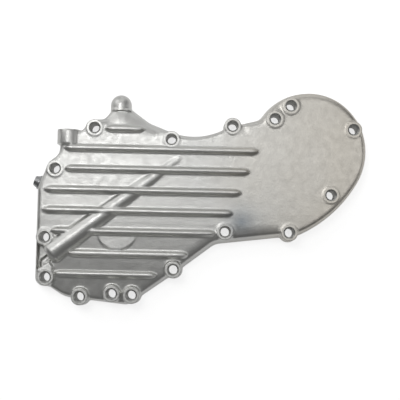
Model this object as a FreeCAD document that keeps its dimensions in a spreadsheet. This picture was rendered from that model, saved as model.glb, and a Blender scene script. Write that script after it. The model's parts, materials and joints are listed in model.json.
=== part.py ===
# Ribbed gearcase cover: one die cast aluminium housing, and the slotted plug in its oil passage.
# Frame: Z=0 is the machined joint face, +Z points out of the ribbed face, the ribs run along X.
# The origin is the middle of screw hole 09 on the joint face. All sizes are in millimetres.
import math
import os

import FreeCAD
import Part
import Sketcher

doc = FreeCAD.newDocument("GearcaseCover")
sheet = doc.addObject("Spreadsheet::Sheet", "Dims")
Vector = FreeCAD.Vector

# ---------------------------------------------------------------- driving dimensions

sizes = {
    # lines that places are measured from
    "left_line": -178, "top_line": 104, "bottom_line": -65,
    # cast shell
    "face_height": 22, "wall": 4.5, "wall_draft": 8, "edge_round": 4, "core_round": 2,
    "crown_start": 18, "crown_radius": 480,
    # drive end, three arcs that run into each other
    "drive_x": 79, "drive_y": 82, "drive_radius": 61.7,
    "drive_top_radius": 57, "drive_top_angle": 50, "neck_round": 8,
    "drive_low_radius": 130, "drive_low_angle": -30, "drive_end_angle": -65.5,
    # screw bosses and their holes: tops measured from the ribbed face
    "boss_rise": 0.3, "boss_radius": 9.3, "boss_draft": 2, "screw_bore": 8.8, "screw_chamfer": 1.5,
    "stud_rise": 0.6, "stud_radius": 9.6,
    # cooling ribs
    "rib_rise": 4.8, "rib_sink": 1.5, "rib_foot": 7, "rib_draft": 16, "rib_nose": 8,
    # oil passage cast into the face: a cone that sinks into the casting
    "passage_x": 7, "passage_y": -24, "passage_sink": 4, "passage_radius": 11.4,
    "passage_length": 158, "passage_turn": 37.7, "passage_fall": 1.3,
    "passage_tip_radius": 8, "passage_nose": 4, "passage_bevel": 3,
    # corner below the passage: a solid block with a pocket in it, and the runner that crosses it
    "block_drop": 5.5, "pocket_drop": 15, "runner_drop": 8, "runner_draft": 18,
    # round pad over the inside bearing
    "pad_x": 0.5995, "pad_y": -0.5, "pad_radius": 19.8, "pad_drop": 0.3, "pad_depth": 3,
    # oil fittings cast on the upper edge, and the plug in the left wall: at half the face height,
    # with the spigot lifted above it
    "spigot_x": 20.5, "spigot_y": -5.5, "spigot_radius": 11.6, "spigot_length": 15, "spigot_lift": 3.5,
    "knob_x": 0.598, "knob_y": 20.5, "knob_radius": 10.5, "knob_length": 14,
    "plug_x": -7.2, "plug_y": 45.2, "plug_turn": 161, "plug_flange_radius": 7,
    "plug_flange": 1.6, "plug_head_radius": 6.2, "plug_head": 4.2, "plug_head_taper": 1.2, "plug_slot": 2.2,
    "plug_slot_depth": 2.4, "plug_shank_radius": 4.6, "plug_shank": 9, "plug_gap": 0.1,
    "plug_seat_radius": 8, "plug_seat_depth": 12,
}

# places are an offset from a named line along X, then along Y; on "length" and "top" lines the
# number is a share of the left or top line, and the "_arc_" lines run through the drive end's centres
screws = {
    "screw_01": ("left_line", 46.5, "top_line", -3.5),
    "screw_02": ("left_line", 8.5, "top_line", -45),
    "screw_03": ("left_line", 0, "", -9),
    "screw_04": ("left_line", 2, "bottom_line", 16.5),
    "screw_05": ("left_line", 36, "bottom_line", -2),
    "screw_06": ("length", 0.621, "bottom_line", 1.5),
    "screw_07": ("length", 0.511, "bottom_line", 0.5),
    "screw_08": ("length", 0.284, "bottom_line", 26.5),
    "screw_09": ("", 0, "", 0),
    "screw_10": ("low_arc_x", 43.65, "low_arc_y", -115.65),
    "screw_11": ("low_arc_x", 84.15, "low_arc_y", -77.65),
    "screw_12": ("top_arc_x", 43.5, "top_arc_y", 18.4),
    "screw_15": ("", 5.5, "top_line", 1),
    "screw_16": ("length", 0.309, "top_line", -13.5),
}
# the two long studs of the drive end
studs = {
    "screw_13": ("top_arc_x", -19, "top_arc_y", 40.9),
    "screw_14": ("top_arc_x", -34.5, "top_arc_y", 27.4),
}

# corners of the outline from the drive end round to the neck, clockwise, each with its radius
corners = {
    "corner_a": ("", -9.5, "", -12.5, 14),
    "corner_b": ("length", 0.281, "bottom_line", 21.5, 60),
    "corner_c": ("length", 0.534, "bottom_line", -10.3, 13),
    "corner_d": ("left_line", 19, "bottom_line", -3.6, 34),
    "corner_e": ("left_line", 2.5, "bottom_line", 6.7, 6),
    "corner_f": ("left_line", -11, "bottom_line", 6.7, 9),
    "corner_g": ("left_line", -11, "", 39, 10),
    "corner_h": ("left_line", -1, "top_line", -37, 12),
    "corner_i": ("left_line", 9.5, "top_line", -29, 8),
    "corner_j": ("left_line", 10.5, "top_line", -6, 10),
    "corner_k": ("left_line", 33, "top_line", -4.5, 6),
    "corner_l": ("left_line", 38, "top_line", 7, 10),
    "corner_m": ("length", 0.697, "top_line", 8, 4),
    "corner_n": ("length", 0.643, "top_line", 19.5, 9),
    "corner_o": ("length", 0.551, "top_line", 19.5, 12),
    "corner_p": ("length", 0.438, "top_line", 5, 14),
    "corner_q": ("length", 0.185, "top_line", -12.5, 62),
    "corner_r": ("", 4, "top_line", 3, 12),
    "corner_s": ("", 17, "top_line", 6.5, 0),
}

# ribs, pointed at both ends: line and offset of the left end, X of the right end, line and offset of Y
ribs = {
    "rib_1": ("length", 0.683, -80.5, "top", 0.96),
    "rib_2": ("left_line", 16.5, 32.3, "top", 0.769),
    "rib_3": ("left_line", 17.5, 23.8, "top", 0.572),
    "rib_4": ("left_line", -2, 16, "top", 0.371),
    "rib_5": ("left_line", -3.3, 8, "top", 0.175),
    "rib_6": ("left_line", 5, -8, "", -2.2),
    "rib_7": ("left_line", 22, -35, "bottom_line", 40.9),
    "rib_8": ("left_line", 9, -66, "bottom_line", 20.5),
}

# plan outlines of the corner below the passage
block = {
    "block_a": ("left_line", -7.5, "", -8),
    "block_b": ("left_line", 4, "", -6),
    "block_c": ("left_line", 17, "", -30),
    "block_d": ("left_line", 9, "bottom_line", 22),
    "block_e": ("left_line", -7.5, "bottom_line", 15),
}
pocket = {
    "pocket_a": ("left_line", -7.5, "", -14),
    "pocket_b": ("left_line", 0, "", -16.2),
    "pocket_c": ("left_line", 11.7, "", -31.2),
    "pocket_d": ("left_line", 5.1, "bottom_line", 31.8),
    "pocket_e": ("left_line", -7.5, "bottom_line", 22.8),
}
runner = {
    "runner_a": ("left_line", -8.3, "", -30.9),
    "runner_b": ("left_line", 4, "", -21.4),
    "runner_c": ("left_line", 12, "", -31.6),
    "runner_d": ("left_line", -8.3, "bottom_line", 17.7),
}
web = {
    "web_a": ("left_line", -6.5, "bottom_line", 23.5),
    "web_b": ("left_line", 5.1, "bottom_line", 31.8),
    "web_c": ("left_line", 9.2, "bottom_line", 26.5),
    "web_d": ("left_line", 6, "bottom_line", 10),
    "web_e": ("left_line", -4, "bottom_line", 10),
}

shares = {"length": "left_line", "top": "top_line"}
places = {**screws, **studs, **corners, **block, **pocket, **runner, **web}
for name, (x_line, x, y_line, y, *round_radius) in places.items():
    sizes[name + "_x"] = x
    sizes[name + "_y"] = y
    if round_radius:
        sizes[name + "_round"] = round_radius[0]
for name, (x_line, start, end, y_line, y) in ribs.items():
    sizes[name + "_start"] = start
    sizes[name + "_end"] = end
    sizes[name + "_y"] = y

for row, (name, value) in enumerate(sizes.items(), 1):
    sheet.set(f"A{row}", name)
    sheet.set(f"B{row}", str(value))
    sheet.setAlias(f"B{row}", name)
doc.recompute()


def size(name):
    return float(sheet.get(name))


def polar(centre, radius, angle):
    turn = math.radians(angle)
    return centre + Vector(radius * math.cos(turn), radius * math.sin(turn), 0)


def arc_centre(part):
    # centre of the upper ("top") or lower ("low") arc of the drive end
    drive = Vector(size("drive_x"), size("drive_y"), 0)
    return polar(drive, size("drive_radius") - size(f"drive_{part}_radius"), size(f"drive_{part}_angle"))


def formula(line, name):
    # a place measured from one of the named lines
    if line in shares:
        return f"Dims.{shares[line]} * Dims.{name}"
    if "_arc_" in line:
        part, _, axis = line.split("_")
        turn = "cos" if axis == "x" else "sin"
        return (f"Dims.drive_{axis} + (Dims.drive_radius - Dims.drive_{part}_radius)"
                f" * {turn}(Dims.drive_{part}_angle) + Dims.{name}")
    return f"Dims.{line} + Dims.{name}" if line else f"Dims.{name}"


def measured(line, name):
    if line in shares:
        return size(shares[line]) * size(name)
    if "_arc_" in line:
        part, _, axis = line.split("_")
        return getattr(arc_centre(part), axis) + size(name)
    return size(name) + (size(line) if line else 0)


def place_of(name):
    x_line, _, y_line, _ = places[name][:4]
    return Vector(measured(x_line, name + "_x"), measured(y_line, name + "_y"), 0)


# heights above the joint face, as formulas and as numbers, from how far each rises over the face
# or drops below it
rises = {"boss": "boss_rise", "stud": "stud_rise"}
drops = {"block": "block_drop", "pocket": "pocket_drop", "runner": "runner_drop", "pad": "pad_drop",
         "passage": "passage_sink"}


def top_formula(name):
    change = f"+ Dims.{rises[name]}" if name in rises else f"- Dims.{drops[name]}"
    return f"(Dims.face_height {change})"


def top_of(name):
    change = size(rises[name]) if name in rises else -size(drops[name])
    return size("face_height") + change


# ---------------------------------------------------------------- sketch helpers

def sketch_on(body, name, role="XY_Plane", lift=None):
    sketch = body.newObject("Sketcher::SketchObject", name)
    plane = next(item for item in body.Origin.OriginFeatures if item.Role == role)
    sketch.AttachmentSupport = (plane, [""])
    sketch.MapMode = "FlatFace"
    if lift:
        sketch.setExpression("AttachmentOffset.Base.z", lift)
    return sketch


def pin_point(sketch, geometry, point, name, x_formula, y_formula):
    # ties one point of the sketch to the sheet; a place with no formula stays free
    for axis, kind, value in (("x", "DistanceX", x_formula), ("y", "DistanceY", y_formula)):
        if not value:
            continue
        now = getattr(sketch.getPoint(geometry, point), axis)
        number = sketch.addConstraint(Sketcher.Constraint(kind, -1, 1, geometry, point, now))
        sketch.renameConstraint(number, f"{name}_{axis}")
        sketch.setExpression(f"Constraints.{name}_{axis}", value)


def set_radius(sketch, geometry, name, value, now):
    number = sketch.addConstraint(Sketcher.Constraint("Radius", geometry, now))
    sketch.renameConstraint(number, name)
    sketch.setExpression(f"Constraints.{name}", value)


def add_circle(sketch, name, centre, x_formula, y_formula, radius_formula, radius):
    number = sketch.addGeometry(Part.Circle(centre, Vector(0, 0, 1), radius), False)
    pin_point(sketch, number, 3, name, x_formula, y_formula)
    set_radius(sketch, number, name + "_radius", radius_formula, radius)


def add_place_circles(sketch, table, radius_name, share=1.0):
    for name, (x_line, _, y_line, _) in table.items():
        add_circle(sketch, name, place_of(name), formula(x_line, name + "_x"),
                   formula(y_line, name + "_y"), f"Dims.{radius_name} * {share}",
                   size(radius_name) * share)


def pad(body, name, sketch, length, draft=None):
    feature = body.newObject("PartDesign::Pad", name)
    feature.Profile = sketch
    feature.setExpression("Length", length)
    if draft:
        feature.setExpression("TaperAngle", f"-Dims.{draft}")
    return feature


def edges_where(shape, test):
    return [f"Edge{number}" for number, edge in enumerate(shape.Edges, 1)
            if not edge.Degenerated and test(shape, edge)]


def middle(edge):
    return edge.valueAt((edge.FirstParameter + edge.LastParameter) / 2)


def on_circle(edge, centre, axis, radius):
    # whether the edge lies on the circle of that centre, axis and radius
    offsets = [point - centre for point in edge.discretize(5)]
    return all(abs(offset.dot(axis)) < 1e-3 and abs(offset.Length - radius) < 1e-3
               for offset in offsets)


def on_top_rim(shape, edge):
    # an edge of the upper face that also belongs to a side
    upward = 0
    for face in shape.ancestorsOfType(edge, Part.Face):
        normal = face.normalAt(*face.Surface.parameter(middle(edge)))
        upward += normal.z > 0.95
    return upward == 1


# ---------------------------------------------------------------- outline of the casting

def corner_arc(before, corner, after, radius):
    # start, middle and end of the arc that rounds a corner
    back = (before - corner).normalize()
    ahead = (after - corner).normalize()
    half = back.getAngle(ahead) / 2
    reach = radius / math.tan(half)
    centre = corner + (back + ahead).normalize() * (radius / math.sin(half))
    return corner + back * reach, centre + (corner - centre).normalize() * radius, corner + ahead * reach


def neck_arc(start, through, drive, drive_radius, radius):
    # the arc in the neck, which touches the last straight edge and the round of the drive end
    along = (through - start).normalize()
    outward = Vector(-along.y, along.x, 0)
    path = start + outward * radius
    offset = path - drive
    along_offset = offset.dot(along)
    reach = -along_offset - math.sqrt(along_offset**2 - offset.dot(offset) + (drive_radius + radius)**2)
    centre = path + along * reach
    foot = centre - outward * radius
    touch = drive + (centre - drive).normalize() * drive_radius
    return foot, centre + (foot + touch - centre * 2).normalize() * radius, touch


def add_outline(sketch):
    names = list(corners)
    points = [place_of(name) for name in names]
    drive = Vector(size("drive_x"), size("drive_y"), 0)
    radius, top_radius, low_radius = (size(f"drive_{part}radius") for part in ("", "top_", "low_"))
    top_angle, low_angle, end_angle = (size(f"drive_{part}_angle") for part in ("top", "low", "end"))
    top_centre = arc_centre("top")
    low_centre = arc_centre("low")
    drive_end = polar(low_centre, low_radius, end_angle)
    neck = neck_arc(points[-2], points[-1], top_centre, top_radius, size("neck_round"))
    top_start = math.degrees(math.atan2(neck[2].y - top_centre.y, neck[2].x - top_centre.x))

    # every piece of the outline in order: its shape and the name of its radius
    pieces = []
    last = drive_end
    for number, name in enumerate(names[:-1]):
        before = points[number - 1] if number else drive_end
        arc = corner_arc(before, points[number], points[number + 1], size(name + "_round"))
        pieces.append((Part.LineSegment(last, arc[0]), None))
        pieces.append((Part.Arc(*arc), name + "_round"))
        last = arc[2]
    pieces.append((Part.LineSegment(last, neck[0]), None))
    pieces.append((Part.Arc(*neck), "neck_round"))
    for centre, arc_radius, start, end, radius_name in (
            (top_centre, top_radius, top_start, top_angle, "drive_top_radius"),
            (drive, radius, top_angle, low_angle, "drive_radius"),
            (low_centre, low_radius, low_angle, end_angle, "drive_low_radius")):
        stops = [polar(centre, arc_radius, turn) for turn in (start, (start + end) / 2, end)]
        pieces.append((Part.Arc(*stops), radius_name))

    numbers = [sketch.addGeometry(shape, False) for shape, _ in pieces]
    ends = [Vector(shape.EndPoint) for shape, _ in pieces]

    def end_at(number, point):
        return 1 if sketch.getPoint(number, 1).distanceToPoint(point) < 1e-4 else 2

    for number, following, joint in zip(numbers, numbers[1:] + numbers[:1], ends):
        kind = "Coincident" if following == numbers[0] else "Tangent"
        sketch.addConstraint(Sketcher.Constraint(
            kind, number, end_at(number, joint), following, end_at(following, joint)))
    for number, (shape, radius_name) in zip(numbers, pieces):
        if radius_name:
            set_radius(sketch, number, radius_name, f"Dims.{radius_name}", size(radius_name))
    for corner, name in enumerate(names):
        x_line, _, y_line, _, _ = corners[name]
        point = sketch.addGeometry(Part.Point(points[corner]), True)
        sketch.addConstraint(Sketcher.Constraint("PointOnObject", point, 1, numbers[2 * corner]))
        if name != names[-1]:
            sketch.addConstraint(Sketcher.Constraint("PointOnObject", point, 1, numbers[2 * corner + 2]))
        pin_point(sketch, point, 1, name, formula(x_line, name + "_x"), formula(y_line, name + "_y"))

    # the drive end: its centre, and how far round each of its arcs runs
    top_arc, drive_arc, low_arc = numbers[-3:]
    rise = "Dims.drive_y + Dims.drive_radius * sin(Dims.drive_{}_angle)"
    low_end = ("Dims.drive_y + (Dims.drive_radius - Dims.drive_low_radius) * sin(Dims.drive_low_angle)"
               " + Dims.drive_low_radius * sin(Dims.drive_end_angle)")
    pin_point(sketch, drive_arc, 3, "drive_centre", "Dims.drive_x", "Dims.drive_y")
    pin_point(sketch, top_arc, end_at(top_arc, ends[-3]), "drive_top", "", rise.format("top"))
    pin_point(sketch, low_arc, end_at(low_arc, ends[-2]), "drive_low", "", rise.format("low"))
    pin_point(sketch, low_arc, end_at(low_arc, ends[-1]), "drive_end", "", low_end)


# ---------------------------------------------------------------- cast shell

def shell_form(body, name, drop, height, round_name):
    # the outline drawn up with draft, its top cut to the crown and its upper rim rounded
    outline = sketch_on(body, name + "Outline", lift=f"-1 * ({drop})")
    add_outline(outline)
    pad(body, name + "Block", outline, f"{height} + {drop}", "wall_draft")
    doc.recompute()

    bounds = body.Shape.BoundBox
    crown = sketch_on(body, name + "Crown", "YZ_Plane")
    radius = size("crown_radius")
    top = bounds.ZMax
    start = size("crown_start")
    low_edge = bounds.YMin - 10

    def crown_point(y):
        return Vector(y, top - radius + math.sqrt(radius**2 - (start - y)**2), 0)

    above = top + 10
    arc = crown.addGeometry(
        Part.Arc(crown_point(low_edge), crown_point((start + low_edge) / 2), crown_point(start)), False)
    walls = [Vector(start, top, 0), Vector(start, above, 0), Vector(low_edge, above, 0),
             crown_point(low_edge)]
    lines = [crown.addGeometry(Part.LineSegment(a, b), False) for a, b in zip(walls, walls[1:])]
    arc_start = 1 if crown.getPoint(arc, 1).distanceToPoint(walls[0]) < 1e-4 else 2
    arc_low = 3 - arc_start
    links = [(arc, arc_start, lines[0], 1), (lines[0], 2, lines[1], 1), (lines[1], 2, lines[2], 1),
             (lines[2], 2, arc, arc_low)]
    for link in links:
        crown.addConstraint(Sketcher.Constraint("Coincident", *link))
    crown.addConstraint(Sketcher.Constraint("Vertical", lines[0]))
    crown.addConstraint(Sketcher.Constraint("Horizontal", lines[1]))
    crown.addConstraint(Sketcher.Constraint("Vertical", lines[2]))
    set_radius(crown, arc, "crown_radius", "Dims.crown_radius", radius)
    pin_point(crown, arc, 3, "crown_centre", "Dims.crown_start", f"{height} - Dims.crown_radius")
    pin_point(crown, lines[0], 1, "crown_start", "Dims.crown_start", "")
    pin_point(crown, lines[1], 2, "crown_above", "", f"{height} + 10")
    crown.addConstraint(Sketcher.Constraint("DistanceX", -1, 1, lines[1], 2, low_edge))
    cut = body.newObject("PartDesign::Pocket", name + "CrownCut")
    cut.Profile = crown
    cut.Type = "ThroughAll"
    cut.Midplane = True
    doc.recompute()

    rim = body.newObject("PartDesign::Fillet", name + "Rim")
    rim.Base = (cut, edges_where(cut.Shape, on_top_rim))
    rim.setExpression("Radius", f"Dims.{round_name}")
    doc.recompute()
    return rim


# ---------------------------------------------------------------- features of the cover

def cut_through(body, name, sketch):
    feature = body.newObject("PartDesign::Pocket", name)
    feature.Profile = sketch
    feature.Type = "ThroughAll"
    feature.Midplane = True
    return feature


def add_polygon(sketch, table):
    names = list(table)
    points = [place_of(name) for name in names]
    lines = [sketch.addGeometry(Part.LineSegment(a, b), False)
             for a, b in zip(points, points[1:] + points[:1])]
    for line, following, name in zip(lines, lines[1:] + lines[:1], names):
        x_line, _, y_line, _ = table[name]
        sketch.addConstraint(Sketcher.Constraint("Coincident", line, 2, following, 1))
        pin_point(sketch, line, 1, name, formula(x_line, name + "_x"), formula(y_line, name + "_y"))


def add_primitive(body, kind, name, placement, **values):
    # a turned form added to the body or cut from it
    feature = body.newObject(f"PartDesign::{kind}", name)
    for prop, value in values.items():
        feature.setExpression(prop, value)
    feature.Placement = placement
    return feature


def axis_placement(point, direction):
    return FreeCAD.Placement(point, FreeCAD.Rotation(Vector(0, 0, 1), direction))


def add_bosses(body):
    sketch = sketch_on(body, "BossPlan")
    add_place_circles(sketch, screws, "boss_radius")
    pad(body, "Bosses", sketch, top_formula("boss"), "boss_draft")
    sketch = sketch_on(body, "StudPlan")
    add_place_circles(sketch, studs, "stud_radius")
    pad(body, "StudBosses", sketch, top_formula("stud"), "boss_draft")


def add_spot_faces(body):
    # the cutter leaves each screw boss flat where the casting stands above it
    sketch = sketch_on(body, "SpotPlan", lift=top_formula("boss"))
    top_radius = size("boss_radius") - top_of("boss") * math.tan(math.radians(size("boss_draft")))
    radius_formula = f"Dims.boss_radius - {top_formula('boss')} * tan(Dims.boss_draft)"
    for name, (x_line, _, y_line, _) in screws.items():
        add_circle(sketch, name, place_of(name), formula(x_line, name + "_x"),
                   formula(y_line, name + "_y"), radius_formula, top_radius)
    feature = body.newObject("PartDesign::Pocket", "SpotFaces")
    feature.Profile = sketch
    feature.Reversed = True
    feature.setExpression("Length", "Dims.face_height + Dims.rib_rise")
    return feature


def add_holes(body):
    sketch = sketch_on(body, "HolePlan")
    add_place_circles(sketch, {**screws, **studs}, "screw_bore", 0.5)
    holes = cut_through(body, "ScrewHoles", sketch)
    doc.recompute()

    mouths = [place_of(name) + Vector(0, 0, top_of("boss")) for name in screws]
    mouths += [place_of(name) + Vector(0, 0, top_of("stud")) for name in studs]

    def on_boss_top(shape, edge):
        return any(on_circle(edge, mouth, Vector(0, 0, 1), size("screw_bore") / 2)
                   for mouth in mouths)

    chamfer = body.newObject("PartDesign::Chamfer", "HoleChamfers")
    chamfer.Base = (holes, edges_where(holes.Shape, on_boss_top))
    chamfer.setExpression("Size", "Dims.screw_chamfer")
    return chamfer


def nose_arc(shoulder, tip, half):
    # the arc from a rib's side to its pointed end, which leaves the side without a corner
    reach = tip.x - shoulder.x
    radius = (reach**2 + half**2) / (2 * half)
    centre = shoulder + Vector(0, math.copysign(radius, tip.y - shoulder.y), 0)
    return centre + (shoulder + tip - centre * 2).normalize() * radius


def add_rib(body, name):
    x_line, _, _, y_line, _ = ribs[name]
    half, nose = size("rib_foot") / 2, size("rib_nose")
    start = Vector(measured(x_line, name + "_start"), measured(y_line, name + "_y"), 0)
    end = Vector(size(name + "_end"), start.y, 0)
    x_formulas = {"start": formula(x_line, name + "_start"), "end": f"Dims.{name}_end"}
    y_formula = formula(y_line, name + "_y")
    crown = ("Dims.face_height - Dims.crown_radius + sqrt(Dims.crown_radius ^ 2"
             f" - max(0; Dims.crown_start - ({y_formula})) ^ 2)")
    sketch = sketch_on(body, name.title().replace("_", ""), lift=f"{crown} - Dims.rib_sink")

    noses = {}
    for side, sign in (("lower", -1), ("upper", 1)):
        shoulders = [start + Vector(nose, sign * half, 0), end + Vector(-nose, sign * half, 0)]
        line = sketch.addGeometry(Part.LineSegment(*shoulders), False)
        for point, tip, place, inward in ((1, start, "start", "+"), (2, end, "end", "-")):
            shoulder = shoulders[point - 1]
            arc = sketch.addGeometry(Part.Arc(shoulder, nose_arc(shoulder, tip, half), tip), False)
            near = 1 if sketch.getPoint(arc, 1).distanceToPoint(shoulder) < 1e-4 else 2
            sketch.addConstraint(Sketcher.Constraint("Tangent", line, point, arc, near))
            noses[place, side] = arc, 3 - near
            pin_point(sketch, line, point, f"{place}_{side}", f"{x_formulas[place]} {inward} Dims.rib_nose",
                      f"{y_formula} {'+' if sign > 0 else '-'} Dims.rib_foot / 2")
    for place in ("start", "end"):
        tip = noses[place, "lower"]
        sketch.addConstraint(Sketcher.Constraint("Coincident", *tip, *noses[place, "upper"]))
        pin_point(sketch, *tip, place, x_formulas[place], y_formula)
    pad(body, name.title().replace("_", "") + "Pad", sketch, "Dims.rib_rise + Dims.rib_sink", "rib_draft")


def add_ribs(body):
    for name in ribs:
        add_rib(body, name)


def passage_axis():
    turn = math.radians(size("passage_turn"))
    fall = math.radians(size("passage_fall"))
    return Vector(math.cos(turn) * math.cos(fall), math.sin(turn) * math.cos(fall), -math.sin(fall))


def add_passage(body):
    # a long cone that sinks into the face, and the short bevelled nose at its high end
    axis = passage_axis()
    start = Vector(size("left_line") + size("passage_x"), size("passage_y"), top_of("passage"))
    add_primitive(body, "AdditiveCone", "Passage", axis_placement(start, axis),
                  Radius1="Dims.passage_radius", Radius2="Dims.passage_tip_radius",
                  Height="Dims.passage_length")
    nose = start - axis * size("passage_nose")
    add_primitive(body, "AdditiveCone", "PassageNose", axis_placement(nose, axis),
                  Radius1="Dims.passage_radius - Dims.passage_bevel",
                  Radius2="Dims.passage_radius", Height="Dims.passage_nose")


def add_corner_block(body):
    sketch = sketch_on(body, "BlockPlan")
    add_polygon(sketch, block)
    pad(body, "Block", sketch, top_formula("block"))
    sketch = sketch_on(body, "PocketPlan", lift=top_formula("pocket"))
    add_polygon(sketch, pocket)
    cut = body.newObject("PartDesign::Pocket", "CornerPocket")
    cut.Profile = sketch
    cut.Reversed = True
    cut.setExpression("Length", "Dims.face_height")
    sketch = sketch_on(body, "RunnerPlan")
    add_polygon(sketch, runner)
    pad(body, "Runner", sketch, top_formula("runner"), "runner_draft")
    sketch = sketch_on(body, "WebPlan")
    add_polygon(sketch, web)
    pad(body, "Web", sketch, top_formula("boss"))


def add_round_pad(body):
    sketch = sketch_on(body, "PadPlan", lift=f"{top_formula('pad')} - Dims.pad_depth")
    add_circle(sketch, "pad", Vector(measured("length", "pad_x"), size("pad_y"), 0),
               formula("length", "pad_x"), "Dims.pad_y", "Dims.pad_radius", size("pad_radius"))
    pad(body, "RoundPad", sketch, "Dims.pad_depth")


def add_fittings(body):
    into = Vector(0, -1, 0)
    level = size("face_height") / 2
    spigot = Vector(size("left_line") + size("spigot_x"), size("top_line") + size("spigot_y"),
                    level + size("spigot_lift"))
    add_primitive(body, "AdditiveCylinder", "Spigot", axis_placement(spigot, into),
                  Radius="Dims.spigot_radius", Height="Dims.spigot_length")
    knob = Vector(size("left_line") * size("knob_x"), size("top_line") + size("knob_y"), level)
    add_primitive(body, "AdditiveCylinder", "KnobBarrel", axis_placement(knob, into),
                  Radius="Dims.knob_radius", Height="Dims.knob_length")
    add_primitive(body, "AdditiveSphere", "KnobDome", axis_placement(knob, into),
                  Radius="Dims.knob_radius")


def plug_placement():
    seat = Vector(size("left_line") + size("plug_x"), size("plug_y"),
                  size("face_height") / 2)
    return axis_placement(seat, polar(Vector(), 1, size("plug_turn")))


def add_plug_seat(body):
    # a round seat in the side wall: cast boss, machined face and the hole of the plug
    outward = plug_placement()
    inward = outward.multiply(
        FreeCAD.Placement(Vector(), FreeCAD.Rotation(Vector(1, 0, 0), 180)))
    add_primitive(body, "AdditiveCylinder", "PlugSeat", inward,
                  Radius="Dims.plug_seat_radius", Height="Dims.plug_seat_depth")
    doc.recompute()
    add_primitive(body, "SubtractiveCylinder", "PlugSeatFace", outward,
                  Radius="Dims.plug_seat_radius", Height="Dims.plug_flange + Dims.plug_head")
    doc.recompute()
    add_primitive(body, "SubtractiveCylinder", "PlugHole", inward,
                  Radius="Dims.plug_shank_radius + Dims.plug_gap",
                  Height="Dims.plug_shank + Dims.plug_gap")


def face_joint(body):
    # the machined joint face: nothing of the casting is left below it
    sketch = sketch_on(body, "JointFacePlan")
    bounds = body.Shape.BoundBox
    middle_point = Vector(bounds.Center.x, bounds.Center.y, 0)
    number = sketch.addGeometry(
        Part.Circle(middle_point, Vector(0, 0, 1), bounds.DiagonalLength), False)
    cut = body.newObject("PartDesign::Pocket", "JointFace")
    cut.Profile = sketch
    cut.setExpression("Length", "Dims.face_height")
    return cut


def make_cover():
    cover = doc.addObject("PartDesign::Body", "GearcaseCover")
    cover.Label = "gearcase_cover"
    shell_form(cover, "Cast", "0", "Dims.face_height", "edge_round")
    core = doc.addObject("PartDesign::Body", "Core")
    shell_form(core, "Core", "Dims.wall / tan(Dims.wall_draft)",
               "(Dims.face_height - Dims.wall)", "core_round")
    hollow = cover.newObject("PartDesign::Boolean", "Hollow")
    hollow.Type = "Cut"
    hollow.setObjects([core])
    for step in (add_corner_block, add_plug_seat, add_passage, add_fittings, add_round_pad,
                 add_bosses, add_ribs, add_spot_faces, face_joint, add_holes):
        step(cover)
        doc.recompute()
    return cover


def make_plug():
    plug = doc.addObject("PartDesign::Body", "PassagePlug")
    plug.Label = "passage_plug"
    upright = FreeCAD.Rotation()

    def level(height):
        return FreeCAD.Placement(Vector(0, 0, height), upright)

    flange, head = size("plug_flange"), size("plug_head")
    add_primitive(plug, "AdditiveCylinder", "Shank", level(-size("plug_shank")),
                  Radius="Dims.plug_shank_radius", Height="Dims.plug_shank")
    add_primitive(plug, "AdditiveCylinder", "Flange", level(0),
                  Radius="Dims.plug_flange_radius", Height="Dims.plug_flange")
    add_primitive(plug, "AdditiveCone", "Head", level(flange),
                  Radius1="Dims.plug_head_radius",
                  Radius2="Dims.plug_head_radius - Dims.plug_head_taper",
                  Height="Dims.plug_head")
    doc.recompute()
    reach = size("plug_head_radius") + 1
    slot = FreeCAD.Placement(
        Vector(-size("plug_slot") / 2, -reach, flange + head - size("plug_slot_depth")), upright)
    add_primitive(plug, "SubtractiveBox", "Slot", slot, Length="Dims.plug_slot",
                  Width="2 * Dims.plug_head_radius + 2", Height="Dims.plug_slot_depth + 1")
    doc.recompute()
    plug.Placement = plug_placement()
    return plug


# ---------------------------------------------------------------- build, check and write

pieces = [make_cover(), make_plug()]
doc.recompute()

for item in doc.Objects:
    if "Invalid" in item.State or "Error" in item.State:
        raise RuntimeError(f"{item.Name} failed: {item.State}")
for piece in pieces:
    shape = piece.Shape
    if shape.isNull() or not shape.isValid() or len(shape.Solids) != 1:
        raise RuntimeError(f"{piece.Label} is not one sound solid")

os.makedirs("parts", exist_ok=True)
for piece in pieces:
    piece.Shape.exportStep(f"parts/{piece.Label}.step")
    print(piece.Label, round(piece.Shape.Volume), "mm3")
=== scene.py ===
import json
import math

import bmesh
import bpy
from mathutils import Euler, Matrix, Vector
from mathutils.kdtree import KDTree


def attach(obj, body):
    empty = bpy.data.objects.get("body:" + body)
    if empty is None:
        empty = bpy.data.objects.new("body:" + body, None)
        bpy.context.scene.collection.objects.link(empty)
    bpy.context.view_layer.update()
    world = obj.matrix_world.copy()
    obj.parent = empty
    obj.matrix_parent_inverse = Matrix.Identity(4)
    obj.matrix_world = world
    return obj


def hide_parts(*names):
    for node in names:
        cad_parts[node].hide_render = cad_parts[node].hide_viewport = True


# Gearcase cover: a ribbed die casting with turned screw bosses, and the slotted plug in its side.
# Metres, in the frame of the CAD: Z=0 is the joint face, the ribs run along X.

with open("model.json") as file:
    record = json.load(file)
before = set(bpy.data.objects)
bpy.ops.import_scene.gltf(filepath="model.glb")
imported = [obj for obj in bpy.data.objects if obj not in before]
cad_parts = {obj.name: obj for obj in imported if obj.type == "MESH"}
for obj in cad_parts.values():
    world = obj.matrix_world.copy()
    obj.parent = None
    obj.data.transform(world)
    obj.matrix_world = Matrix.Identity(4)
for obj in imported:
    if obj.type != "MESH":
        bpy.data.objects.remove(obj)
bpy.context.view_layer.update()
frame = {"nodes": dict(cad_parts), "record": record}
print("frame loaded")

mm = 0.001


def linearColour(hexText):
    parts = [int(hexText[i:i + 2], 16) / 255 for i in (1, 3, 5)]
    return [c / 12.92 if c <= 0.04045 else ((c + 0.055) / 1.055) ** 2.4 for c in parts] + [1]


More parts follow.
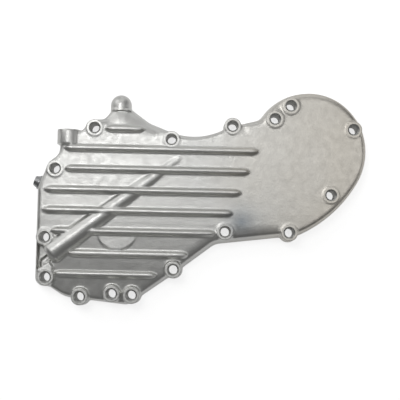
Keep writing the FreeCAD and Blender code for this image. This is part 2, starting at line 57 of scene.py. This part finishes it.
def addNode(tree, kind, links=None, inputs=None, **settings):
    node = tree.nodes.new(kind)
    for name, value in settings.items():
        setattr(node, name, value)
    for socket, value in (inputs or {}).items():
        node.inputs[socket].default_value = value
    for socket, source in (links or {}).items():
        tree.links.new(source, node.inputs[socket])
    return node


def newMaterial(name):
    material = bpy.data.materials.new(name)
    material.use_nodes = True
    material.node_tree.nodes.clear()
    return material


def newObject(name, mesh):
    obj = bpy.data.objects.new(name, mesh)
    bpy.context.scene.collection.objects.link(obj)
    return obj


def meshFrom(bm, name):
    mesh = bpy.data.meshes.new(name)
    bm.to_mesh(mesh)
    bm.free()
    return mesh


def openMesh(mesh):
    bm = bmesh.new()
    bm.from_mesh(mesh)
    return bm


def applyModifiers(obj):
    depsgraph = bpy.context.evaluated_depsgraph_get()
    mesh = bpy.data.meshes.new_from_object(obj.evaluated_get(depsgraph))
    obj.modifiers.clear()
    obj.data = mesh


def mergedCopy(nodeName):
    # a welded copy of a CAD node's mesh
    bm = openMesh(frame["nodes"][nodeName].data)
    bmesh.ops.remove_doubles(bm, verts=bm.verts, dist=1e-6)
    return bm


# materials come first, because the turned parts and the cast parts each take their own

castFinish = {
    "warm": "#e7e2d8", "cool": "#e7e7e4",
    "roughness": 0.38, "roughnessSpread": 0.14,
    "warmFrom": -20, "warmTo": 110,   # mm along X, where the tone turns warm towards the drive end
    "toneSize": 60, "toneSpread": 90, # mm, drift of the tone over the face
    "mottleSize": 7,          # mm, cloudy marks that tumbling leaves
    "grainSize": 1.6,         # mm, real grain is near 0.3 and would not show
    "grainHeight": 0.17, "mottleHeight": 0.4,
    "stain": (16, 10, 30), "stainColour": "#a9b0b6",   # painted shade, a grey-blue patch by the neck: X, Y and reach in mm
}


def patternScale(size):
    # noise cells of a given size in mm, on coordinates in metres
    return 1 / (size * mm)


def castAluminium():
    # die cast aluminium, tumbled with fine stones: satin grey, cloudy, with soft blurred reflections
    material = newMaterial("castAluminium")
    tree = material.node_tree
    place = addNode(tree, "ShaderNodeTexCoord").outputs["Object"]
    along = addNode(tree, "ShaderNodeSeparateXYZ", {"Vector": place})
    tone = addNode(tree, "ShaderNodeTexNoise", {"Vector": place},
                   {"Scale": patternScale(castFinish["toneSize"]), "Detail": 3})
    shifted = addNode(tree, "ShaderNodeMath", {0: tone.outputs["Fac"], 2: along.outputs["X"]},
                      {1: castFinish["toneSpread"] * mm}, operation="MULTIPLY_ADD")
    warmth = addNode(tree, "ShaderNodeMapRange", {"Value": shifted.outputs[0]}, {
        "From Min": (castFinish["warmFrom"] + castFinish["toneSpread"] / 2) * mm,
        "From Max": (castFinish["warmTo"] + castFinish["toneSpread"] / 2) * mm})
    mottle = addNode(tree, "ShaderNodeTexNoise", {"Vector": place},
                     {"Scale": patternScale(castFinish["mottleSize"]), "Detail": 4, "Roughness": 0.6})
    grain = addNode(tree, "ShaderNodeTexNoise", {"Vector": place},
                    {"Scale": patternScale(castFinish["grainSize"]), "Detail": 2})
    drift = addNode(tree, "ShaderNodeValToRGB", {"Fac": warmth.outputs["Result"]})
    drift.color_ramp.elements[0].color = linearColour(castFinish["cool"])
    drift.color_ramp.elements[1].color = linearColour(castFinish["warm"])
    # painted shade: a grey-blue patch by the neck, mixed into the cast colour and fading outwards
    paintedShadeX, paintedShadeY, paintedShadeReach = (value * mm for value in castFinish["stain"])
    centred = addNode(tree, "ShaderNodeMapping", {"Vector": place}, vector_type="TEXTURE",
                      inputs={"Location": (paintedShadeX, paintedShadeY, 0.022), "Scale": [paintedShadeReach] * 3})
    paintedShadeFade = addNode(tree, "ShaderNodeTexGradient", {"Vector": centred.outputs[0]},
                   gradient_type="QUADRATIC_SPHERE")
    toneAndPaintedShade = addNode(tree, "ShaderNodeMixRGB", {"Fac": paintedShadeFade.outputs["Fac"], "Color1": drift.outputs["Color"]},
                   {"Color2": linearColour(castFinish["stainColour"])})
    rough = addNode(tree, "ShaderNodeMapRange", {"Value": mottle.outputs["Fac"]}, {
        "From Min": 0.3, "From Max": 0.7,
        "To Min": castFinish["roughness"] - castFinish["roughnessSpread"] / 2,
        "To Max": castFinish["roughness"] + castFinish["roughnessSpread"] / 2})
    clouds = addNode(tree, "ShaderNodeBump", {"Height": mottle.outputs["Fac"]},
                     {"Strength": 0.5, "Distance": castFinish["mottleHeight"] * mm})
    skin = addNode(tree, "ShaderNodeBump", {"Height": grain.outputs["Fac"], "Normal": clouds.outputs[0]},
                   {"Strength": 0.5, "Distance": castFinish["grainHeight"] * mm})
    shader = addNode(tree, "ShaderNodeBsdfPrincipled", {
        "Base Color": toneAndPaintedShade.outputs[0], "Roughness": rough.outputs["Result"],
        "Normal": skin.outputs[0]}, {"Metallic": 1.0})
    addNode(tree, "ShaderNodeOutputMaterial", {"Surface": shader.outputs[0]})
    return material


# the colour is partly painted shade: darker than the cast skin for the bores and chamfers
turnedAndShadedFinish = {"colour": "#cfcfcc", "roughness": 0.42, "markPitch": 0.7, "markHeight": 0.01}


def turnedAluminium():
    # drilled aluminium with the cutter's rings; its colour is a little darker than the cast skin, partly
    # the turned metal and partly painted shade down in the holes
    material = newMaterial("turnedAluminium")
    tree = material.node_tree
    reach = addNode(tree, "ShaderNodeAttribute", attribute_name="holeReach")
    scaled = addNode(tree, "ShaderNodeMath", {0: reach.outputs["Fac"]}, operation="MULTIPLY")
    scaled.inputs[1].default_value = 2 * math.pi / (turnedAndShadedFinish["markPitch"] * mm)
    rings = addNode(tree, "ShaderNodeMath", {0: scaled.outputs[0]}, operation="SINE")
    bump = addNode(tree, "ShaderNodeBump", {"Height": rings.outputs[0]},
                   {"Strength": 0.4, "Distance": turnedAndShadedFinish["markHeight"] * mm})
    shader = addNode(tree, "ShaderNodeBsdfPrincipled", {"Normal": bump.outputs[0]}, {
        "Base Color": linearColour(turnedAndShadedFinish["colour"]), "Metallic": 1.0,
        "Roughness": turnedAndShadedFinish["roughness"]})
    addNode(tree, "ShaderNodeOutputMaterial", {"Surface": shader.outputs[0]})
    return material


plugFinish = {"colour": "#b6b7b8", "roughness": 0.3, "polish": 0.08, "wear": 0.12, "grainSize": 1.2}


def dullSteel():
    # turned steel, dull from handling: darker and harder than the casting, with faint smears
    material = newMaterial("dullSteel")
    tree = material.node_tree
    place = addNode(tree, "ShaderNodeTexCoord").outputs["Object"]
    smears = addNode(tree, "ShaderNodeTexNoise", {"Vector": place},
                     {"Scale": patternScale(plugFinish["grainSize"]), "Detail": 3})
    rough = addNode(tree, "ShaderNodeMapRange", {"Value": smears.outputs["Fac"]}, {
        "To Min": plugFinish["roughness"] - plugFinish["polish"],
        "To Max": plugFinish["roughness"] + plugFinish["wear"]})
    shader = addNode(tree, "ShaderNodeBsdfPrincipled", {"Roughness": rough.outputs["Result"]}, {
        "Base Color": linearColour(plugFinish["colour"]), "Metallic": 1.0})
    addNode(tree, "ShaderNodeOutputMaterial", {"Surface": shader.outputs[0]})
    return material


casting = {
    "voxel": 0.8,             # mm, grid of the remelt that runs every corner into a cast fillet
    "skirt": 3,               # mm the rim runs on below the joint face, before it is cut off flat
    "softening": 6,           # passes of smoothing
    "triangles": 165000,
    "crease": 34,             # degrees, the sharpest bend that is still shaded as a curve
}

# how the face rolls away towards the rim near some places: X, Y, width and fall in mm
rimRolls = [
    (28, 104, 10, 2.0), (70, 136, 11, 2.6), (110, 125, 10, 2.4), (136, 92, 8, 1.6),
    (134, 60, 5, 0.6), (105, 12, 3, 0), (80, 2, 4, 0.3), (35, -4, 16, 2.6), (-28, -30, 14, 2.6),
    (-70, -62, 10, 2.0), (-115, -70, 6, 1.0), (-185, -20, 4, 0.4), (-187, 30, 5, 0.6),
    (-168, 85, 5, 0.6), (-140, 110, 5, 0.6), (-106, 118, 22, 5.0), (-78, 108, 18, 4.5),
    (-48, 98, 8, 1.2), (-15, 97, 6, 0.8), (8, 108, 5, 0.6),
]

# mm: where the roll starts above the joint face and the rise over which it grows, the widest roll,
# how far a boss holds it off, and the softness of the blend between two places
rolling = {"start": 6, "rise": 8, "widest": 22, "bossFoot": 8, "bossFade": 5, "blend": 60}

# the round fitting on the upper edge stands free of that roll: X, half width and start in Y, in mm
fitting = {"x": -106.4, "reach": 11.5, "start": 118}

holes = {
    "chamfer": 1.5,           # mm
    "facing": 7.6,            # mm, radius of the cutter that faces each boss
    "filler": 8.2,            # mm, radius of the solid boss before it is cut
    "stock": 0.12,            # mm left on the boss for the cutter
    "clearance": 12,          # mm of free height over each boss for the cutter
    "steps": 56,
    "sliver": 0.005,          # mm, thinner faces that the cut leaves are collapsed
}


def holePlaces():
    # centre and top of each screw hole, from the record's bore mounts
    places = []
    for mount in frame["record"]["mounts"]:
        if mount["kind"] == "bore":
            x, y, _ = mount["pos_m"]
            top = mount["dims"]["length_mm"] + holes["chamfer"]
            places.append(Vector((x, y, top * mm)))
    return places


def turned(profile, steps, name):
    # a closed solid of revolution about Z from (radius, height) in mm
    bm = bmesh.new()
    rings = []
    for radius, height in profile:
        if radius == 0:
            rings.append([bm.verts.new((0, 0, height * mm))])
            continue
        rings.append([bm.verts.new((radius * mm * math.cos(a), radius * mm * math.sin(a), height * mm))
                      for a in (2 * math.pi * step / steps for step in range(steps))])
    for lower, upper in zip(rings, rings[1:]):
        for step in range(steps):
            after = (step + 1) % steps
            corners = [ring[k] for ring, k in ((lower, step), (lower, after), (upper, after), (upper, step))
                       if len(ring) > 1]
            if len(lower) == 1:
                corners = [lower[0], upper[after], upper[step]]
            elif len(upper) == 1:
                corners = [lower[step], lower[after], upper[0]]
            bm.faces.new(corners)
    bmesh.ops.recalc_face_normals(bm, faces=bm.faces)
    return meshFrom(bm, name)


def repeatTree():
    # puts a copy of one piece on every point it is given
    tree = bpy.data.node_groups.new("repeatAtPlaces", "GeometryNodeTree")
    tree.interface.new_socket("Places", in_out="INPUT", socket_type="NodeSocketGeometry")
    tree.interface.new_socket("Piece", in_out="INPUT", socket_type="NodeSocketObject")
    tree.interface.new_socket("Finish", in_out="INPUT", socket_type="NodeSocketMaterial")
    tree.interface.new_socket("Copies", in_out="OUTPUT", socket_type="NodeSocketGeometry")
    given = addNode(tree, "NodeGroupInput")
    piece = addNode(tree, "GeometryNodeObjectInfo", {"Object": given.outputs["Piece"]})
    copies = addNode(tree, "GeometryNodeInstanceOnPoints",
                     {"Points": given.outputs["Places"], "Instance": piece.outputs["Geometry"]})
    real = addNode(tree, "GeometryNodeRealizeInstances", {"Geometry": copies.outputs[0]})
    finished = addNode(tree, "GeometryNodeSetMaterial",
                       {"Geometry": real.outputs[0], "Material": given.outputs["Finish"]})
    addNode(tree, "NodeGroupOutput", {"Copies": finished.outputs[0]})
    return tree


def repeatAt(tree, places, pieceMesh, finish, name):
    points = bpy.data.meshes.new(name + "Places")
    points.from_pydata(places, [], [])
    obj = newObject(name, points)
    piece = newObject(name + "Piece", pieceMesh)
    modifier = obj.modifiers.new("repeat", "NODES")
    modifier.node_group = tree
    sockets = {item.name: item.identifier for item in tree.interface.items_tree}
    modifier[sockets["Piece"]] = piece
    modifier[sockets["Finish"]] = finish
    applyModifiers(obj)
    bpy.data.objects.remove(piece)
    return obj


def rimPoints(bm):
    # points every 2 mm along the foot of the outer wall, whose draft leans it inwards
    points = []
    for edge in bm.edges:
        if all(vert.co.z < 1e-6 for vert in edge.verts) and any(
                0.1 < face.normal.z < 0.3 for face in edge.link_faces):
            start, end = (vert.co for vert in edge.verts)
            steps = max(1, round((end - start).length / (2 * mm)))
            points += [start.lerp(end, step / steps) for step in range(steps)]
    tree = KDTree(len(points))
    for number, point in enumerate(points):
        tree.insert(point, number)
    tree.balance()
    return tree


def rollRim(mesh, rim, places):
    # lowers the face near the rim, except round the screw bosses
    flat = [Vector((place.x, place.y, 0)) for place in places]
    for vert in mesh.vertices:
        x, y, z = vert.co / mm
        onFitting = y > fitting["start"] and abs(x - fitting["x"]) < fitting["reach"]
        if z < rolling["start"] or onFitting:
            continue
        spot = Vector((vert.co.x, vert.co.y, 0))
        away = rim.find(spot)[2] / mm
        if away > rolling["widest"]:
            continue
        weights = [(1 / ((x - rollX) ** 2 + (y - rollY) ** 2 + rolling["blend"]) ** 2, width, fall)
                   for rollX, rollY, width, fall in rimRolls]
        total = sum(weight for weight, _, _ in weights)
        width = sum(weight * width for weight, width, _ in weights) / total
        fall = sum(weight * fall for weight, _, fall in weights) / total
        if away >= width:
            continue
        boss = min((spot - place).length for place in flat) / mm
        free = min(1, max(0, (boss - rolling["bossFoot"]) / rolling["bossFade"]))
        height = min(1, (z - rolling["start"]) / rolling["rise"])
        vert.co.z -= fall * mm * (1 - away / width) ** 2 * free * height


def joinInto(obj, others):
    bm = openMesh(obj.data)
    for other in others:
        bm.from_mesh(other)
    obj.data = meshFrom(bm, obj.name)


def buildCover(cast, turnedAndShadedMetal):
    places = holePlaces()
    tree = repeatTree()
    bm = mergedCopy("gearcase_cover")
    bm.normal_update()
    rim = rimPoints(bm)
    for vert in bm.verts:
        if vert.co.z < 1e-6:
            vert.co.z = -casting["skirt"] * mm
    cover = newObject("cover", meshFrom(bm, "cover"))

    # solid bosses first, so that the holes can be cut crisp at the end
    reach = max(place.z for place in places) / mm + 2 * casting["skirt"]
    stock = [(0, holes["stock"] - reach), (holes["filler"], holes["stock"] - reach),
             (holes["filler"], holes["stock"]), (0, holes["stock"])]
    fillers = repeatAt(tree, places, turned(stock, holes["steps"], "filler"), cast, "fillers")
    for vert in fillers.data.vertices:
        vert.co.z = max(vert.co.z, -casting["skirt"] * mm)
    joinInto(cover, [fillers.data])
    bpy.data.objects.remove(fillers)

    remelt = cover.modifiers.new("remelt", "REMESH")
    remelt.mode = "VOXEL"
    remelt.voxel_size = casting["voxel"] * mm
    applyModifiers(cover)
    print("cover remelted:", len(cover.data.polygons))
    rollRim(cover.data, rim, places)
    soften = cover.modifiers.new("soften", "SMOOTH")
    soften.factor = 0.5
    soften.iterations = casting["softening"]
    thin = cover.modifiers.new("thin", "DECIMATE")
    thin.ratio = casting["triangles"] / (2 * len(cover.data.polygons))
    applyModifiers(cover)
    print("cover thinned:", len(cover.data.polygons))

    bm = openMesh(cover.data)
    cut = bmesh.ops.bisect_plane(bm, geom=bm.verts[:] + bm.edges[:] + bm.faces[:], plane_co=(0, 0, 0),
                                 plane_no=(0, 0, -1), clear_outer=True)
    rims = [e for e in cut["geom_cut"] if isinstance(e, bmesh.types.BMEdge)]
    bmesh.ops.triangle_fill(bm, edges=rims, use_beauty=False, normal=(0, 0, -1))
    cover.data = meshFrom(bm, "cover")

    bore = frame["record"]["mounts"][0]["dims"]["r_mm"]
    cutter = [(0, -reach), (bore, -reach), (bore, -holes["chamfer"]), (bore + holes["chamfer"], 0),
              (holes["facing"], 0), (holes["facing"], holes["clearance"]), (0, holes["clearance"])]
    drills = repeatAt(tree, places, turned(cutter, holes["steps"], "cutter"), turnedAndShadedMetal, "drills")
    drill = cover.modifiers.new("drill", "BOOLEAN")
    drill.object = drills
    drill.operation = "DIFFERENCE"
    drill.solver = "MANIFOLD"
    applyModifiers(cover)
    bpy.data.objects.remove(drills)
    bm = openMesh(cover.data)
    bmesh.ops.dissolve_degenerate(bm, dist=holes["sliver"] * mm, edges=bm.edges)
    bmesh.ops.triangulate(bm, faces=bm.faces)
    cover.data = meshFrom(bm, "cover")
    cover.data.materials.append(cast)
    cover.data.materials.append(turnedAndShadedMetal)
    print("cover drilled:", len(cover.data.polygons))

    for polygon in cover.data.polygons:
        polygon.use_smooth = True
        polygon.material_index = 0
    reaches = cover.data.attributes.new("holeReach", "FLOAT", "POINT")
    flat = KDTree(len(places))
    for number, place in enumerate(places):
        flat.insert((place.x, place.y, 0), number)
    flat.balance()
    levels = [place.z for place in places]
    nearest = []
    for vert in cover.data.vertices:
        _, number, away = flat.find((vert.co.x, vert.co.y, 0))
        nearest.append((number, away))
        reaches.data[vert.index].value = away
    # faces down in the bores and chamfers take the darker turned metal, partly painted shade
    for polygon in cover.data.polygons:
        number, away = nearest[polygon.vertices[0]]
        level = levels[number] - polygon.center.z
        if away < (bore + holes["chamfer"]) * mm * 1.01 and level > 0.02 * mm:
            polygon.material_index = 1
    cover.data.set_sharp_from_angle(angle=math.radians(casting["crease"]))
    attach(cover, "root")
    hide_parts("gearcase_cover")


plugShape = {"edge": 0.3, "segments": 2, "bevelFrom": 40, "crease": 30}   # mm, and angles in degrees


def buildPlug(steel):
    plug = newObject("plug", meshFrom(mergedCopy("passage_plug"), "plug"))
    bevel = plug.modifiers.new("edgeBreak", "BEVEL")
    bevel.width = plugShape["edge"] * mm
    bevel.segments = plugShape["segments"]
    bevel.limit_method = "ANGLE"
    bevel.angle_limit = math.radians(plugShape["bevelFrom"])
    applyModifiers(plug)
    for polygon in plug.data.polygons:
        polygon.use_smooth = True
    plug.data.set_sharp_from_angle(angle=math.radians(plugShape["crease"]))
    plug.data.materials.clear()
    plug.data.materials.append(steel)
    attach(plug, "root")
    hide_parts("passage_plug")
    print("plug built:", len(plug.data.polygons))


camera = {"target": (-25.4, 31.5, 10), "distance": 970, "tilt": 3.2, "roll": 1.3, "lens": 87.3}


def addCamera():
    data = bpy.data.cameras.new("camera")
    data.lens = camera["lens"]
    data.sensor_width = 36
    obj = bpy.data.objects.new("camera", data)
    turn = Euler((math.radians(camera["tilt"]), 0, math.radians(camera["roll"])))
    back = turn.to_matrix() @ Vector((0, 0, 1))
    obj.rotation_euler = turn
    obj.location = (Vector(camera["target"]) + back * camera["distance"]) * mm
    bpy.context.scene.collection.objects.link(obj)
    bpy.context.scene.camera = obj


# lamps in metres and watts; key and fill hang overhead, the low ones round the edge light the steep walls
studio = {
    "world": 0.12,
    "aim": (-0.025, 0.03, 0),
    "lamps": {
        "keyLamp": {"place": (-0.34, 0.38, 1.3), "size": 0.5, "watts": 2.3},
        "fillLamp": {"place": (0.40, 0.22, 1.4), "size": 0.75, "watts": 1.3},
        "cornerLamp": {"place": (-0.85, 0.75, 0.6), "size": 1.0, "watts": 2.6},
        "backLamp": {"place": (0.15, 1.25, 0.6), "size": 1.1, "watts": 2.2},
        "frontLamp": {"place": (-0.35, -0.28, 1.35), "size": 0.7, "watts": 0.1},
        "rightLamp": {"place": (1.2, 0.1, 0.45), "size": 0.6, "watts": 0.8},
    },
    "floorSize": 2.5, "floorDrop": 0.3, "floorColour": "#ececec", "floorGlow": 0.72, "mirroredGlow": 0.22,
}


def addLamp(name, spec):
    data = bpy.data.lights.new(name, "AREA")
    data.size = spec["size"]
    data.energy = spec["watts"]
    obj = bpy.data.objects.new(name, data)
    obj.location = spec["place"]
    obj.rotation_euler = (Vector(studio["aim"]) - Vector(spec["place"])).to_track_quat("-Z", "Y").to_euler()
    bpy.context.scene.collection.objects.link(obj)


def addWorld():
    world = bpy.data.worlds.new("world")
    bpy.context.scene.world = world
    world.use_nodes = True
    tree = world.node_tree
    tree.nodes.clear()
    path = addNode(tree, "ShaderNodeLightPath")
    level = addNode(tree, "ShaderNodeMapRange", {"Value": path.outputs["Is Camera Ray"]},
                    {"To Min": studio["world"], "To Max": 1.0})
    background = addNode(tree, "ShaderNodeBackground", {"Strength": level.outputs[0]},
                         {"Color": (1, 1, 1, 1)})
    addNode(tree, "ShaderNodeOutputWorld", {"Surface": background.outputs[0]})


def addFloor():
    # white paper: it glows for the eye, and less for what the metal mirrors, and keeps the shadow
    bm = bmesh.new()
    bmesh.ops.create_grid(bm, x_segments=1, y_segments=1, size=studio["floorSize"])
    mesh = meshFrom(bm, "floor")
    mesh.transform(Matrix.Translation((0, 0, -studio["floorDrop"] * mm)))
    floor = newObject("floor", mesh)
    material = newMaterial("floorPaper")
    tree = material.node_tree
    diffuse = addNode(tree, "ShaderNodeBsdfDiffuse",
                      inputs={"Color": linearColour(studio["floorColour"])})
    path = addNode(tree, "ShaderNodeLightPath")
    mirrored = addNode(tree, "ShaderNodeMath", {0: path.outputs["Is Glossy Ray"]},
                       {1: studio["mirroredGlow"]}, operation="MULTIPLY")
    seen = addNode(tree, "ShaderNodeMath", {0: path.outputs["Is Camera Ray"], 2: mirrored.outputs[0]},
                   {1: studio["floorGlow"]}, operation="MULTIPLY_ADD")
    glow = addNode(tree, "ShaderNodeEmission", {"Strength": seen.outputs[0]}, {"Color": (1, 1, 1, 1)})
    both = addNode(tree, "ShaderNodeAddShader", {0: diffuse.outputs[0], 1: glow.outputs[0]})
    addNode(tree, "ShaderNodeOutputMaterial", {"Surface": both.outputs[0]})
    mesh.materials.append(material)


addCamera()
buildCover(castAluminium(), turnedAluminium())
buildPlug(dullSteel())
for lampName, lampSpec in studio["lamps"].items():
    addLamp(lampName, lampSpec)
addWorld()
addFloor()
bpy.context.scene.view_settings.view_transform = "Standard"
print("studio set")
